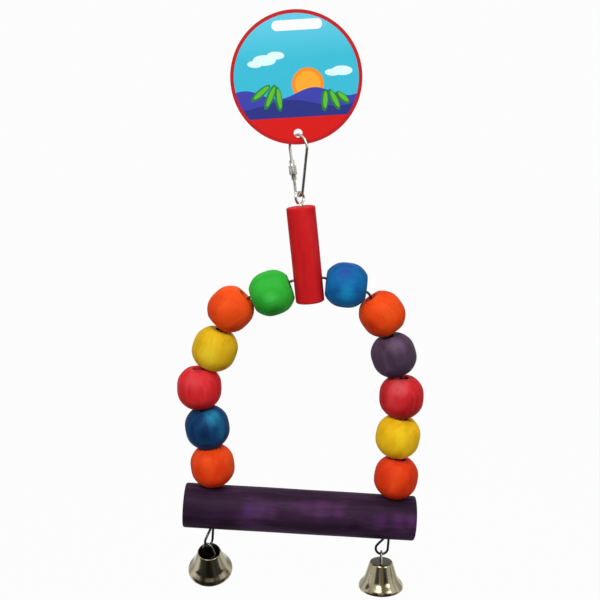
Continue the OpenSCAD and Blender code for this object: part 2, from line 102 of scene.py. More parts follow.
def coated_board():
    """Inks by distance from the card's middle and by height. Leaves are narrow ellipses and hills are
    sine waves across the card."""
    finish, tree, shader = finish_named("coated_printed_board")
    place = add(tree, "ShaderNodeTexCoord").node.outputs["Object"]
    x, y, z = add(tree, "ShaderNodeSeparateXYZ", Vector=place).node.outputs

    def sum_of(op, a, b, c=0.0):
        """One sum on values or links: the operation named, of a, b and, where it takes three, c."""
        return add(tree, "ShaderNodeMath", {"operation": op}, _0=a, _1=b, _2=c)

    def edge_at(value, limit, soft=0.08 * MM):
        """0 below the limit and 1 above it, over a soft edge as wide as the ink's spread."""
        return add(tree, "ShaderNodeMapRange", Value=value, From_Min=limit - soft, From_Max=limit + soft)

    def inked(under, mask, colour):
        """The colour laid over what is under it, where the mask is 1."""
        return mixed(tree, under, colour, mask)

    def oval(cx, cz, width, height, turn=0.0):
        """Mask of an ellipse: 1 where the turned and scaled distance is below 1."""
        moved = add(tree, "ShaderNodeMapping", {"vector_type": "TEXTURE"}, Vector=place,
                    Location=(cx * MM, 0, cz * MM), Rotation=(0, radians(turn), 0),
                    Scale=(width / 2 * MM, 1000.0, height / 2 * MM))
        length = add(tree, "ShaderNodeVectorMath", {"operation": "LENGTH"}, _0=moved).node.outputs["Value"]
        return add(tree, "ShaderNodeMapRange", Value=length, From_Min=1.02, From_Max=0.98)

    across = sum_of("SUBTRACT", x, CARD["centre"][0] * MM)
    above = sum_of("SUBTRACT", z, CARD["centre"][1] * MM)
    from_middle = sum_of("SQRT", sum_of("ADD", sum_of("MULTIPLY", across, across),
                                        sum_of("MULTIPLY", above, above)), 0.0)
    level = sum_of("SUBTRACT", above, sum_of("MULTIPLY", across, CARD["slant"]))
    low_sky = add(tree, "ShaderNodeMapRange", {"interpolation_type": "SMOOTHSTEP"}, Value=level,
                  From_Min=-9 * MM, From_Max=-21 * MM)
    high_sky = add(tree, "ShaderNodeMapRange", Value=level, From_Min=10 * MM, From_Max=30 * MM, To_Max=0.35)
    ink = inked(linear("#38B6CF"), low_sky, linear("#1B6CB0"))
    ink = inked(ink, high_sky, linear("#86DDF2"))
    for cx, cz, size in CLOUDS:
        ink = inked(ink, oval(cx, cz, size, size * 0.45), linear("#D9F3FA"))
    for cx, cz, size, colour in SUN:
        ink = inked(ink, oval(cx, cz, size, size), linear(colour))
    for rate, shift, rise, depth, colour in HILLS:
        wave = sum_of("SINE", sum_of("MULTIPLY_ADD", across, rate / MM, shift), 0.0)
        hill = sum_of("SUBTRACT", sum_of("MULTIPLY", wave, rise * MM), level)
        ink = inked(ink, edge_at(hill, depth * MM), linear(colour))
    for cx, cz, length, turn in LEAVES:
        ink = inked(ink, oval(cx, cz, length, 3.9, -turn), linear("#1E7A2C"))
        ink = inked(ink, oval(cx + 0.3, cz + 0.3, length * 0.8, 2.3, -turn), linear("#5DB832"))
    ink = inked(ink, edge_at(sum_of("MULTIPLY", level, -1.0), CARD["panel_level"] * MM), linear("#D2150F"))
    ink = inked(ink, edge_at(from_middle, CARD["border_r"] * MM), linear("#B8161C"))
    fibre = add(tree, "ShaderNodeTexNoise", Vector=place, Scale=2.6 / MM, Detail=4.0)
    board = inked(linear("#ECE8DF"), fibre, linear("#DAD5C8"))
    tree.links.new(inked(ink, edge_at(y, CARD["face"] * MM, 0.01 * MM), board), shader["Base Color"])
    speckle = add(tree, "ShaderNodeTexNoise", Vector=place, Scale=0.9 / MM, Detail=3.0)
    gloss = add(tree, "ShaderNodeMapRange", Value=speckle, To_Min=0.26, To_Max=0.4)
    tree.links.new(gloss, shader["Roughness"])
    grain = add(tree, "ShaderNodeBump", Strength=0.05, Distance=0.02 * MM, Height=fibre)
    tree.links.new(grain, shader["Normal"])
    shader["Specular IOR Level"].default_value = 0.22
    return finish


frame["nodes"]["hang_card"].data.materials.clear()
frame["nodes"]["hang_card"].data.materials.append(coated_board())

# The quick link: one length of zinc-plated steel wire, bent to a long ring on a former.
# The gap in its left leg is threaded on both sides of the gate and closed by a sleeve nut.
# It is made as a round section carried along the bent centre line.


def laid_path(start, heading, steps, spacing=0.35):
    """Centre line of a wire laid in steps of (straight run, turn in degrees, radius of the turn), in mm.
    Each turn is an arc: centre plus radius times (cos, sin) of the swept angle. It returns the line's points
    and its headings."""
    points, headings = [np.array([start], float)], [np.array([radians(heading)])]
    at, angle = np.array(start, float), radians(heading)
    for run, turn, radius in steps:
        if run > 1e-6:
            share = np.linspace(0, 1, max(2, int(run / spacing / 2)) + 1)[1:, None]
            points.append(at + share * run * [np.cos(angle), np.sin(angle)])
            headings.append(np.full(len(share), angle))
            at = points[-1][-1]
        if turn:
            side = np.sign(turn)
            centre = at + side * radius * np.array([-np.sin(angle), np.cos(angle)])
            count = max(4, int(abs(radians(turn)) * radius / spacing))
            swept = angle + radians(turn) * np.linspace(0, 1, count + 1)[1:]
            points.append(centre + side * radius * np.stack([np.sin(swept), -np.cos(swept)], 1))
            headings.append(swept)
            at, angle = points[-1][-1], swept[-1]
    return np.concatenate(points), np.concatenate(headings)


def skin(name, grid, finish, body, node, ends="capped", sharp=40):
    """Mesh of a grid of points in mm: rows along the piece, columns round it, each row joined to the next.
    Capped ends meet in one point at the row's middle; looped ends join the last row to the first."""
    rows, columns = grid.shape[:2]
    index = np.arange(rows * columns).reshape(rows, columns)
    low = index if ends == "looped" else index[:-1]
    high = np.roll(index, -1, 0) if ends == "looped" else index[1:]
    faces = np.stack([low, np.roll(low, -1, 1), np.roll(high, -1, 1), high], -1).reshape(-1, 4).tolist()
    points = grid.reshape(-1, 3)
    if ends == "capped":
        points = np.concatenate([points, grid[[0, -1]].mean(1)])
        first, last = rows * columns, rows * columns + 1
        faces += np.stack([np.roll(index[0], -1), index[0], np.full(columns, first)], -1).tolist()
        faces += np.stack([index[-1], np.roll(index[-1], -1), np.full(columns, last)], -1).tolist()
    mesh = bpy.data.meshes.new(name)
    mesh.from_pydata((points * MM).tolist(), [], faces)
    mesh.polygons.foreach_set("use_smooth", np.ones(len(faces), bool))
    mesh.set_sharp_from_angle(angle=radians(sharp))
    mesh.materials.append(finish)
    piece = bpy.data.objects.new(name, mesh)
    bpy.context.scene.collection.objects.link(piece)
    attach(piece, body)
    if node:
        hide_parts(node)
    return piece


def round_wire(path, radius, origin, across, up, columns=28):
    """Grid of a round section carried along a flat path: centre plus radius times
    (cos of the angle times the path's normal, sin of the angle times the plane's normal)."""
    points, headings = path
    radius = np.broadcast_to(np.asarray(radius, float), len(points)).copy()
    side = np.cross(across, up)
    line = np.asarray(origin) + points[:, :1] * across + points[:, 1:] * up
    normal = -np.sin(headings)[:, None] * across + np.cos(headings)[:, None] * up
    along = np.cos(headings)[:, None] * across + np.sin(headings)[:, None] * up
    shrink = np.array([0.45, 0.8, 0.95])
    line = np.concatenate([line[:1] - along[:1] * radius[0] * np.array([[0.3], [0.22], [0.1]]), line,
                           line[-1:] + along[-1:] * radius[-1] * np.array([[0.1], [0.22], [0.3]])])
    radius = np.concatenate([shrink * radius[0], radius, shrink[::-1] * radius[-1]])
    normal = np.concatenate([normal[[0, 0, 0]], normal, normal[[-1, -1, -1]]])
    angle = np.linspace(0, 2 * pi, columns, endpoint=False)
    ring = np.cos(angle)[None, :, None] * normal[:, None] + np.sin(angle)[None, :, None] * side
    return line[:, None] + radius[:, None, None] * ring


def plated_steel(name, colour, dark, rough, streak=1.0):
    """Bright plating: metal whose colour and roughness drift over a few millimetres, with fine scuffs."""
    finish, tree, shader = finish_named(name)
    place = add(tree, "ShaderNodeTexCoord").node.outputs["Object"]
    cloud = add(tree, "ShaderNodeTexNoise", Vector=place, Scale=0.26 * streak / MM, Detail=5.0, Roughness=0.6)
    scuff = add(tree, "ShaderNodeTexNoise", Vector=place, Scale=3.4 / MM, Detail=3.0)
    ramp = add(tree, "ShaderNodeValToRGB", Fac=cloud).node
    for stop, position, tint in zip(ramp.color_ramp.elements, (0.3, 0.62), (dark, colour)):
        stop.position = position
        stop.color = linear(tint)
    tree.links.new(ramp.outputs[0], shader["Base Color"])
    gloss = add(tree, "ShaderNodeMapRange", Value=cloud, From_Min=0.3, From_Max=0.7, To_Min=rough * 1.5,
                To_Max=rough)
    tree.links.new(gloss, shader["Roughness"])
    scratches = add(tree, "ShaderNodeBump", Strength=0.12, Distance=0.02 * MM, Height=scuff)
    tree.links.new(scratches, shader["Normal"])
    shader["Metallic"].default_value = 1.0
    return finish


def unit(way):
    """A direction: a vector over its own length."""
    return np.asarray(way, float) / np.linalg.norm(way)


def hinge(name):
    """A joint's place in mm and its axis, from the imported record."""
    return np.array(joints[name].get("pos_m", (0, 0, 0))) / MM, unit(joints[name]["axis"])


LINK = {"length": 34.2, "top_r": 6.5, "bottom_r": 2.7, "wire_r": 0.8, "nut_foot": 6.1, "cover": 1.3,
        "gate": 4.4, "lean": 1.0}
THREAD = {"low": 0.2, "high": 10.6, "pitch": 0.4, "depth": 0.06}
zinc = plated_steel("zinc_plated_steel", "#BFBDB5", "#8E8B84", 0.2)
link_top, link_across = hinge("link_swing")
link_up = unit(np.array([-np.sin(radians(LINK["lean"])), 0, np.cos(radians(LINK["lean"]))]))
link_span = LINK["length"] - 2 * LINK["wire_r"] - LINK["top_r"] - LINK["bottom_r"]
leg_slope = np.arcsin((LINK["top_r"] - LINK["bottom_r"]) / link_span)
leg_len = link_span * np.cos(leg_slope)
leg_way = np.array([-np.sin(leg_slope), np.cos(leg_slope)])
leg_foot = np.array([0, LINK["bottom_r"] + 2 * LINK["wire_r"] - LINK["length"]]) \
    + LINK["bottom_r"] * np.array([-np.cos(leg_slope), -np.sin(leg_slope)])
gate_low = LINK["nut_foot"] + LINK["cover"]
gate_high = gate_low + LINK["gate"]
link_path = laid_path(leg_foot + leg_way * gate_high, 90 + np.degrees(leg_slope),
                      [(leg_len - gate_high, -180 - 2 * np.degrees(leg_slope), LINK["top_r"]),
                       (leg_len, -180 + 2 * np.degrees(leg_slope), LINK["bottom_r"]),
                       (gate_low, 0, 0)], spacing=0.12)
# The thread: the wire's radius dips by a sine wave over both threaded stubs.
leg_height = (link_path[0] - leg_foot) @ leg_way
off_leg = np.abs((link_path[0] - leg_foot) @ np.array([leg_way[1], -leg_way[0]]))
in_nut = leg_height - LINK["nut_foot"]
threaded = (off_leg < 0.05) & (in_nut > THREAD["low"]) & (in_nut < THREAD["high"])
wave = (1 + np.sin(2 * pi * leg_height / THREAD["pitch"])) / 2
link_radius = LINK["wire_r"] - THREAD["depth"] * threaded * wave
skin("quick_link_ring", round_wire(link_path, link_radius, link_top, link_across, link_up), zinc, "link",
     "quick_link")

# The sleeve nut: turned from a short hexagonal bar, with a round collar at each end.
# Its corners are chamfered where the hexagon runs into the collars. It is plated as the link is.


def turned(profile, foot, axis, columns, wobble=None, squared=None):
    """Grid of a profile of (radius, height) in mm, turned round an axis: foot plus height along the axis
    plus radius times (cos, sin) across it. wobble and squared change the radius by angle and height."""
    axis = unit(axis)
    first = unit(np.cross([0.0, 1.0, 0.0], axis) if abs(axis[1]) < 0.9 else np.cross([1.0, 0.0, 0.0], axis))
    second = np.cross(axis, first)
    angle = np.linspace(0, 2 * pi, columns, endpoint=False)
    radius = np.broadcast_to(profile[:, :1], (len(profile), columns)).copy()
    height = np.broadcast_to(profile[:, 1:], radius.shape)
    if squared is not None:
        radius = squared(radius, angle[None])
    if wobble is not None:
        radius = radius * (1 + wobble(angle[None], height))
    ring = np.cos(angle)[None, :, None] * first + np.sin(angle)[None, :, None] * second
    return np.asarray(foot) + height[..., None] * axis + radius[..., None] * ring


NUT = {"flat_r": 2.1, "collar_r": 1.6}


def six_sided(radius, angle):
    """Outside the collars the radius is held to the flats' own over the cosine of the angle to the flat."""
    flat = NUT["flat_r"] / np.cos((angle + pi / 6) % (pi / 3) - pi / 6)
    return np.where(radius > NUT["collar_r"], np.minimum(radius, flat), radius)


nut_profile = np.array([(0.86, 0), (1.3, 0), (1.45, 0.15), (1.45, 2.7), (1.5, 2.85), (2.15, 2.98),
                        (2.48, 3.3), (2.48, 7.5), (2.15, 7.82), (1.5, 7.95), (1.45, 8.1), (1.45, 10.65),
                        (1.3, 10.8), (0.86, 10.8), (0.86, 5.4)])
nut_foot = leg_foot + leg_way * LINK["nut_foot"]
skin("sleeve_nut_body", turned(nut_profile, link_top + nut_foot[0] * link_across + nut_foot[1] * link_up,
                               leg_way[0] * link_across + leg_way[1] * link_up, columns=96,
                               squared=six_sided), zinc, "nut", "sleeve_nut", "looped", sharp=25)

# The screw eye: bright plated wire bent to a ring on a former, its shank screwed into the dowel.
# The ring's end stops a little short of the shank.
EYE = {"wire_r": 0.8, "ring_r": 3.0, "height": 8.6, "bend_r": 1.0, "shank": 14.0, "gap": 2.2}
eye_top, eye_across = hinge("dowel_swing")
cross_hole, cross_way = hinge("arch_swing")
dowel_up = unit(np.cross(cross_way, [0.0, 1.0, 0.0]))
dowel_up = dowel_up * np.sign(dowel_up[2])
foot_drop = EYE["height"] - EYE["wire_r"] - EYE["bend_r"] / 2 - EYE["ring_r"]
eye_side = np.arcsin(EYE["ring_r"] / foot_drop)
foot_bend = EYE["bend_r"] * np.tan(eye_side / 2)
side_len = foot_drop * np.cos(eye_side)
eye_path = laid_path((0, EYE["wire_r"] - EYE["height"] - EYE["shank"]), 90,
                     [(EYE["shank"] + EYE["bend_r"] / 2 - foot_bend, -np.degrees(eye_side), EYE["bend_r"]),
                      (side_len - foot_bend, 180 + 2 * np.degrees(eye_side), EYE["ring_r"]),
                      (side_len - EYE["gap"], 0, 0)], spacing=0.2)
skin("screw_eye_ring", round_wire(eye_path, EYE["wire_r"], eye_top, eye_across, dowel_up),
     plated_steel("bright_plated_eye", "#CFCBC2", "#827D74", 0.16), "dowel", "screw_eye")

# The top dowel: a length of turned hardwood, its edges sanded, dipped in red food dye.
# The dye soaks in unevenly, deeper along the open grain and at the end grain, and dries matt.


def dyed_wood(name, colour, dark, light, middle, grain_way, seed, streak, blotch, holes=(), rough=0.5,
              run=0.12, pools=0.075, spots=()):
    """Dyed wood in its own grain's frame, z along the grain. Fibres and streaks are noise whose rate along
    the grain is run times that across it, rings are a wave round a pith line 30 mm away, and blotches are
    slow noise at the rate that pools gives to the mm. holes are painted shade: dark round discs at the
    hole mouths, as (place, reach). spots are soft pools of a tint, as (place, reach, spot_tint), strongest
    at the place and broken up by the streaks; on the beads most are painted light and painted shade."""
    finish, tree, shader = finish_named(name)
    place = add(tree, "ShaderNodeTexCoord").node.outputs["Object"]
    across = unit(np.cross([0.0, 1.0, 0.0], grain_way))
    turn = np.stack([np.cross(across, grain_way), across, grain_way])
    own = add(tree, "ShaderNodeMapping", Vector=place, Rotation=Matrix(turn.tolist()).to_euler("XYZ"),
              Location=-turn @ middle * MM)
    stretched = add(tree, "ShaderNodeMapping", Vector=own, Scale=(1, 1, run),
                    Location=(seed * 0.37, seed * 0.11, seed * 0.23))
    fibre = add(tree, "ShaderNodeTexNoise", Vector=stretched, Scale=0.9 * streak / MM, Detail=6.0,
                Roughness=0.65)
    streaks = add(tree, "ShaderNodeTexNoise", Vector=stretched, Scale=0.26 * streak / MM, Detail=3.0,
                  Roughness=0.5)
    pith = add(tree, "ShaderNodeMapping", Vector=own, Location=(30 * MM, 12 * MM * np.cos(seed), 0),
               Scale=(1, 1, 0.15))
    rings = add(tree, "ShaderNodeTexWave", {"wave_type": "RINGS", "rings_direction": "Z"}, Vector=pith,
                Scale=0.095 / MM, Distortion=3.0, Detail=2.0, Detail_Scale=1.2)
    pool = add(tree, "ShaderNodeMapping", Vector=own, Scale=(1, 1, run * 4),
               Location=(seed * 0.53, seed * 0.29, 0))
    patch = add(tree, "ShaderNodeTexNoise", Vector=pool, Scale=pools / MM, Detail=4.0, Roughness=0.55)

    def share(value, low, high, top=1.0):
        """0 where the value is at low, and up to top where it is at high, by a smooth step."""
        return add(tree, "ShaderNodeMapRange", {"interpolation_type": "SMOOTHSTEP"}, Value=value,
                   From_Min=low, From_Max=high, To_Max=top)

    tone = mixed(tree, linear(colour), linear(dark), share(patch, 0.5, 0.66, blotch))
    tone = mixed(tree, tone, linear(light), share(patch, 0.48, 0.34, blotch))
    # Spots: on the beads, painted light on the lit front and painted shade low on the front, with a few dye
    # patches.
    for spot, reach, spot_tint in spots:
        away = add(tree, "ShaderNodeVectorMath", {"operation": "DISTANCE"}, _0=place,
                   _1=tuple(np.asarray(spot) * MM)).node.outputs["Value"]
        away = add(tree, "ShaderNodeMath", {"operation": "MULTIPLY_ADD"}, _0=streaks, _1=reach * MM, _2=away)
        tone = mixed(tree, tone, linear(spot_tint), share(away, 1.45 * reach * MM, 0.5 * reach * MM, 0.75))
    tone = mixed(tree, tone, linear(dark), share(streaks, 0.54, 0.78, 0.45 * streak))
    tone = mixed(tree, tone, linear(light), share(rings, 0.55, 1.0, 0.12))
    tone = mixed(tree, tone, linear(dark), share(fibre, 0.56, 0.74, 0.4))
    # Painted shade: a dark disc at each hole's mouth stands in for the shade inside the hole.
    for mouth, reach in holes:
        away = add(tree, "ShaderNodeVectorMath", {"operation": "DISTANCE"}, _0=place,
                   _1=tuple(np.asarray(mouth) * MM)).node.outputs["Value"]
        tone = mixed(tree, tone, linear("#120B0C"), share(away, (reach + 0.15) * MM, (reach - 0.1) * MM))
    tree.links.new(tone, shader["Base Color"])
    matt = add(tree, "ShaderNodeMapRange", Value=fibre, From_Min=0.3, From_Max=0.7, To_Min=rough,
               To_Max=rough + 0.2)
    tree.links.new(matt, shader["Roughness"])
    grain = add(tree, "ShaderNodeBump", Strength=0.35, Distance=0.12 * MM, Height=fibre)
    tree.links.new(grain, shader["Normal"])
    shader["Specular IOR Level"].default_value = 0.07
    return finish


def sanded_rod(radius, length, edge):
    """Profile of a rod from 0 up: flat ends, quarter-circle edges, and a straight side in short steps."""
    bend = np.linspace(0, pi / 2, 7)
    foot = np.stack([radius - edge + edge * np.sin(bend), edge - edge * np.cos(bend)], 1)
    rise = np.linspace(edge, length - edge, int(length / 2) + 2)[1:-1]
    side = np.stack([np.full(len(rise), radius), rise], 1)
    inner = np.linspace(0.15, 1, 5)[:, None] * [radius - edge, 0]
    return np.concatenate([inner[:-1], foot, side, foot[::-1] * [1, -1] + [0, length],
                           inner[-2::-1] + [0, length]])


def hand_sanded(seed, amount):
    """A turned piece's small departures from round: slow sines of the angle and the height."""
    return lambda angle, height: amount * (np.sin(2 * angle + seed) * np.cos(height / 9 + seed)
                                           + 0.6 * np.sin(3 * angle - seed + height / 7))


DOWEL = {"radius": 7.95, "length": 53.0, "edge": 1.0, "hole_up": 12.8, "hole_r": 1.2, "eye_hole_r": 1.0}
dowel_foot = cross_hole - dowel_up * DOWEL["hole_up"]
# Painted shade: dark discs at the two cross-hole mouths and the eye's hole, each of the hole's radius.
dowel_hole_shade = [(cross_hole + side * DOWEL["radius"] * cross_way, DOWEL["hole_r"]) for side in (-1, 1)]
dowel_hole_shade.append((dowel_foot + dowel_up * DOWEL["length"], DOWEL["eye_hole_r"]))
skin("top_dowel_wood", turned(sanded_rod(DOWEL["radius"], DOWEL["length"], DOWEL["edge"]), dowel_foot,
                              dowel_up, columns=96, wobble=hand_sanded(2.0, 0.004)),
     dyed_wood("red_dyed_dowel", "#C31A1E", "#A01015", "#D12A30", dowel_foot, dowel_up, seed=3.1, streak=0.9,
               blotch=0.4, holes=dowel_hole_shade), "dowel", "top_dowel")

# The beads: turned hardwood balls with flats round a wide bore, each dipped in one dye and tumbled.
# Dye gathers darker along the streaks of the grain, and each bead's grain shows differently.
BEAD = {"radius": 12.6, "ball_r": 13.0, "length": 22.2, "bore_r": 3.6, "edge": 0.4, "belt_power": 24,
        "belt_swell": 1.012}
BEAD_DYES = {
    "bead_left_1": ("#2EA833", "#1A8424", "#44BE44"), "bead_left_2": ("#E44A12", "#C22C0A", "#EC6224"),
    "bead_left_3": ("#D8AE18", "#BA860E", "#E6C834"), "bead_left_4": ("#CC2428", "#AA161A", "#DA4448"),
    "bead_left_5": ("#0E3560", "#08203E", "#1C6A90"), "bead_left_6": ("#DC3C10", "#BC2806", "#EA5420"),
    "bead_right_1": ("#0E609C", "#12407E", "#1280B8"), "bead_right_2": ("#E24410", "#B82A0A", "#EC6028"),
    "bead_right_3": ("#4A364A", "#302332", "#644E68"), "bead_right_4": ("#C42227", "#941216", "#D8484E"),
    "bead_right_5": ("#EDBC16", "#C48A0C", "#F2CC30"), "bead_right_6": ("#D83610", "#B42608", "#E85220"),
}
# Lighter and darker pools on the beads' fronts: place from the bead's middle, reach in mm, and tint.
# Most are painted light on the lit front and painted shade low on the front; a few, as bead_left_5's, are
# dye.
BEAD_LIGHT_SHADE_AND_DYE_SPOTS = {
    "bead_left_1": (((0, -12, -1), 6, "#45C54C"), ((2, -7, -10), 9, "#17701E")),
    "bead_left_2": (((-2, -11, 4), 8, "#E65416"), ((2, -8, -9), 7, "#B42406")),
    "bead_left_3": (((-2, -12, 0), 8, "#DEC02A"), ((5, -8, -9), 6, "#B06E0A")),
    "bead_left_4": (((-3, -10, 6), 8, "#CE4246"), ((2, -8, -9), 7, "#A0161A")),
    "bead_left_5": (((3, -8, 8), 7, "#2A8CB0"), ((-1, -12, -1), 6, "#081C3C")),
    "bead_left_6": (((-1, -11, 4), 8, "#E24A14"), ((2, -8, -9), 7, "#B02004")),
    "bead_right_1": (((-1, -8, 9), 8, "#283E90"), ((0, -12, -2), 7, "#1A90C0")),
    "bead_right_2": (((2, -11, 4), 8, "#E25018"), ((-6, -9, -5), 7, "#BC2606")),
    "bead_right_3": (((1, -9, 8), 8, "#6A546E"), ((0, -8, -9), 7, "#302434")),
    "bead_right_4": (((-2, -9, 8), 8, "#CC5058"), ((0, -9, -8), 8, "#8C0E14")),
    "bead_right_5": (((0, -12, 3), 8, "#E8C81C"), ((-2, -8, -9), 6, "#BC7C0A")),
    "bead_right_6": (((1, -11, 3), 8, "#DC4414"), ((0, -8, -9), 7, "#AC2006")),
}


def bead_profile():
    """Profile of a bead: a ball's arc, sqrt(ball radius squared minus height squared), held to the rod's
    radius by a high root of a sum of as high powers, then the flats and the bore with soft edges."""
    half, power, edge, bore_r = BEAD["length"] / 2, BEAD["belt_power"], BEAD["edge"], BEAD["bore_r"]
    height = half * np.sin(np.linspace(-pi / 2, pi / 2, 49))
    arc = np.sqrt(BEAD["ball_r"] ** 2 - height ** 2)
    belt = BEAD["radius"] * BEAD["belt_swell"]
    side = np.stack([(arc ** -power + belt ** -power) ** (-1 / power), height], 1)
    side[[0, -1]] += [[-0.12, 0.02], [-0.12, -0.02]]
    mouth = [(bore_r + edge, half), (bore_r + 0.3 * edge, half - edge / 4), (bore_r, half - edge)]
    bore = [(bore_r, h) for h in np.linspace(half - 3, 3 - half, 6)]
    under = [(r, -h) for r, h in mouth[::-1]]
    return np.concatenate([side, mouth, bore, under])


for number, (bead, dyes) in enumerate(BEAD_DYES.items()):
    middle, hole_way = hinge(bead + "_spin")
    spots = [(middle + spot, reach, spot_tint) for spot, reach, spot_tint in BEAD_LIGHT_SHADE_AND_DYE_SPOTS[bead]]
    skin(bead + "_wood", turned(bead_profile(), middle, hole_way, columns=96,
                                wobble=hand_sanded(number * 1.7, 0.0025)),
         dyed_wood(bead + "_dye", *dyes, middle, hole_way, seed=5.3 + number * 2.9, streak=0.8, blotch=0.5,
                   spots=spots), bead, bead, "looped")

# The arch: one length of dull drawn steel wire through the dowel and the beads.
# It bends between the beads, runs down through the perch and ends in a loop under it at each side,
# with its end tucked back up into the same hole.
PERCH = {"radius": 12.7, "length": 133.0, "edge": 1.2, "shift": -1.6, "hole_r": 2.4}
LOOP = {"radius": 3.5, "gap": 2.4, "back": 40.0, "tuck_r": 1.5, "drop": 0.3, "tuck": 8.0}
WIRE = {"radius": 0.7, "bend_r": 4.0, "past_dowel": 0.6, "above_perch": 0.4}
drawn_wire = plated_steel("drawn_steel_wire", "#4E4A46", "#232120", 0.34, 3.0)
perch_along = -hinge("right_bell_swing")[1]
perch_up = np.cross(perch_along, [0.0, 1.0, 0.0])
back = radians(LOOP["back"])
loop_run = (LOOP["radius"] * (1 + np.cos(back)) - LOOP["gap"]) / np.sin(back)
loop_neck = LOOP["radius"] * np.sin(back) + loop_run * np.cos(back) + LOOP["drop"]
loop_across, wire_feet = {}, {}
for side in ("left", "right"):
    pivot, tangent = hinge(side + "_bell_swing")
    loop_across[side] = tangent
    wire_feet[side] = pivot + perch_up * (loop_neck + LOOP["radius"]) - tangent * LOOP["radius"]


def corners_of(side, sign):
    """Corners of one half of the arch: midway between neighbouring bead ends, then down the perch's hole."""
    ends = [hinge(f"bead_{side}_{k}_spin") for k in range(1, 7)]
    heads = [at - way * BEAD["length"] / 2 for at, way in ends]
    feet = [at + way * BEAD["length"] / 2 for at, way in ends]
    out = [cross_hole + sign * cross_way * (DOWEL["radius"] + WIRE["past_dowel"])]
    out += [(a + b) / 2 for a, b in zip(feet[:-1], heads[1:])]
    out.append(wire_feet[side] + perch_up * (2 * PERCH["radius"] + WIRE["above_perch"]))
    return out + [wire_feet[side] - perch_up * loop_neck]


corners = np.array(corners_of("left", -1)[::-1] + corners_of("right", 1))[:, [0, 2]]
ways = np.degrees(np.arctan2(*np.diff(corners, axis=0).T[::-1]))
turns = np.append((np.diff(ways) + 180) % 360 - 180, 0)
bends = WIRE["bend_r"] * np.tan(np.radians(np.abs(turns)) / 2)
runs = np.linalg.norm(np.diff(corners, axis=0), axis=1) - bends - np.append(0, bends[:-1])
arch_path = laid_path(corners[0], ways[0], list(zip(runs, turns, np.full(len(runs), WIRE["bend_r"]))))
X, UP = np.array([1.0, 0, 0]), np.array([0, 0, 1.0])
skin("arch_wire_run", round_wire(arch_path, WIRE["radius"], (0, 0, 0), X, UP), drawn_wire, "arch",
     "arch_wire")
tuck_bend = LOOP["tuck_r"] * np.tan(back / 2)
for side in ("left", "right"):
    loop_path = laid_path((0, 0.5), -90, [(loop_neck + 0.5, 180 + LOOP["back"], LOOP["radius"]),
                                          (loop_run - tuck_bend, -LOOP["back"], LOOP["tuck_r"]),
                                          (LOOP["tuck"] + LOOP["drop"] - tuck_bend, 0, 0)], spacing=0.2)
    skin(side + "_wire_loop", round_wire(loop_path, WIRE["radius"] * 1.01, wire_feet[side], loop_across[side],
                                         perch_up), drawn_wire, "arch", None)

# The perch: a thick turned dowel, dyed violet to near black, unevenly, with the grain lengthwise.
# Lighter violet patches lie high along its front, and darker pools lie lower, the largest near its left end.
perch_middle = (wire_feet["left"] + wire_feet["right"]) / 2 + perch_up * PERCH["radius"]
perch_middle = perch_middle + perch_along * PERCH["shift"]
# Painted shade: dark discs at each hole's mouth, under and on top of the perch.
perch_hole_shade = []
for side in ("left", "right"):
    foot = wire_feet[side] + loop_across[side] * LOOP["gap"] / 2
    head = foot + 2 * PERCH["radius"] * perch_up
    perch_hole_shade += [(foot, PERCH["hole_r"]), (head, PERCH["hole_r"])]
# Lighter and darker pools along the perch's front, 12 mm before its middle: run and rise from the middle,
# reach, and tint.
PERCH_SPOTS = (
    (-60, 2, 20, "#180D19"), (-42, -4, 16, "#180D19"), (-29, 4, 6, "#4E2E60"), (-25, 4, 6, "#502E5C"),
    (-21, 5, 6, "#502E5A"), (-16, 4, 6, "#4A2A52"), (4, 8, 7, "#4A284E"), (12, 7, 8, "#522C58"),
    (22, 6, 5, "#542B5C"), (31, -1, 5, "#140A14"), (46, 2, 7, "#4E2656"), (56, 3, 7, "#54295C"),
    (64, 3, 6, "#5A2C62"))
perch_spots = [(perch_middle + run * perch_along + [0, -12, rise], reach, spot_tint)
               for run, rise, reach, spot_tint in PERCH_SPOTS]
skin("perch_wood", turned(sanded_rod(PERCH["radius"], PERCH["length"], PERCH["edge"]),
                          perch_middle - perch_along * PERCH["length"] / 2, perch_along, columns=128,
                          wobble=hand_sanded(1.0, 0.0035)),
     dyed_wood("violet_dyed_perch", "#2D1A2E", "#140A12", "#55305A", perch_middle, perch_along, seed=9.4,
               streak=1.4, blotch=0.45, holes=perch_hole_shade, rough=0.48, run=0.07, pools=0.085,
               spots=perch_spots), "arch", "perch")

# The bells: small liberty bells drawn from thin brass and nickel plated, the crown flat and the rim rolled.
# The plating is bright but faintly streaked up and down from the drawing, and a little warm.
BELL = {"radius": 13.0, "height": 16.0, "wall": 0.7, "drop": 4.7, "columns": 128}
# The outside from the crown's middle to the rim, in shares of the bell's radius and height.
BELL_OUTLINE = np.array([(0, 0), (0.2, 0.0), (0.45, 0), (0.478, 0.003), (0.5, 0.015), (0.517, 0.035),
                         (0.53, 0.065), (0.547, 0.108), (0.565, 0.157), (0.592, 0.23), (0.62, 0.303),
                         (0.645, 0.373), (0.67, 0.438), (0.692, 0.497), (0.716, 0.552), (0.74, 0.601),
                         (0.766, 0.643), (0.797, 0.684), (0.83, 0.72), (0.868, 0.756), (0.905, 0.79),
                         (0.94, 0.826), (0.968, 0.863), (0.987, 0.9), (0.997, 0.93), (1.0, 0.958),
                         (0.996, 0.98), (0.983, 0.995), (0.965, 1.0), (0.945, 0.99)])
# How far each bell leans, and which way its hanger faces, in degrees.
BELL_TILT = {"left": 25.0, "right": 0.0}
LOOP_TURN = {"left": 237.0, "right": 180.0}


